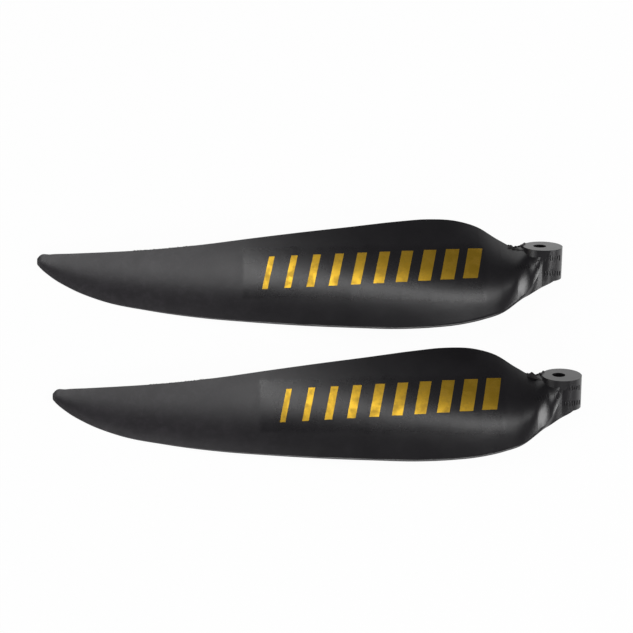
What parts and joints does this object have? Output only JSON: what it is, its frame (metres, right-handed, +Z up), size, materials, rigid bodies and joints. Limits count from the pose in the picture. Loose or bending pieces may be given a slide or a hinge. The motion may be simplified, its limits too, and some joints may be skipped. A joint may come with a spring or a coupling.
{
  "type": "folding propeller blades",
  "caption": "Moulded blades for a folding propeller, twisted aerofoils with a flat-sided, cross-bored root knuckle, lying side by side.",
  "frame": {"origin": "on the bench, under the middle of the box around both blades", "axes": "+X from the tips towards the knuckles, +Y from the near blade towards the far blade, +Z up from the bench"},
  "size_m": [0.128, 0.0576, 0.0117],
  "materials": {
    "moulding": "satin moulded, glass-filled nylon with a fine grain",
    "foil": "metallic gold hot foil"
  },
  "bodies": {
    "far_loose_blade": {"far_blade": "moulding", "far_foil_bars": "foil"},
    "near_loose_blade": {"near_blade": "moulding", "near_foil_bars": "foil"}
  },
  "joints": [
    {"name": "near_blade_lift", "type": "slide", "parent": "far_loose_blade", "child": "near_loose_blade", "axis": [0, 0, 1], "range_m": [0, 0.1]}
  ]
}
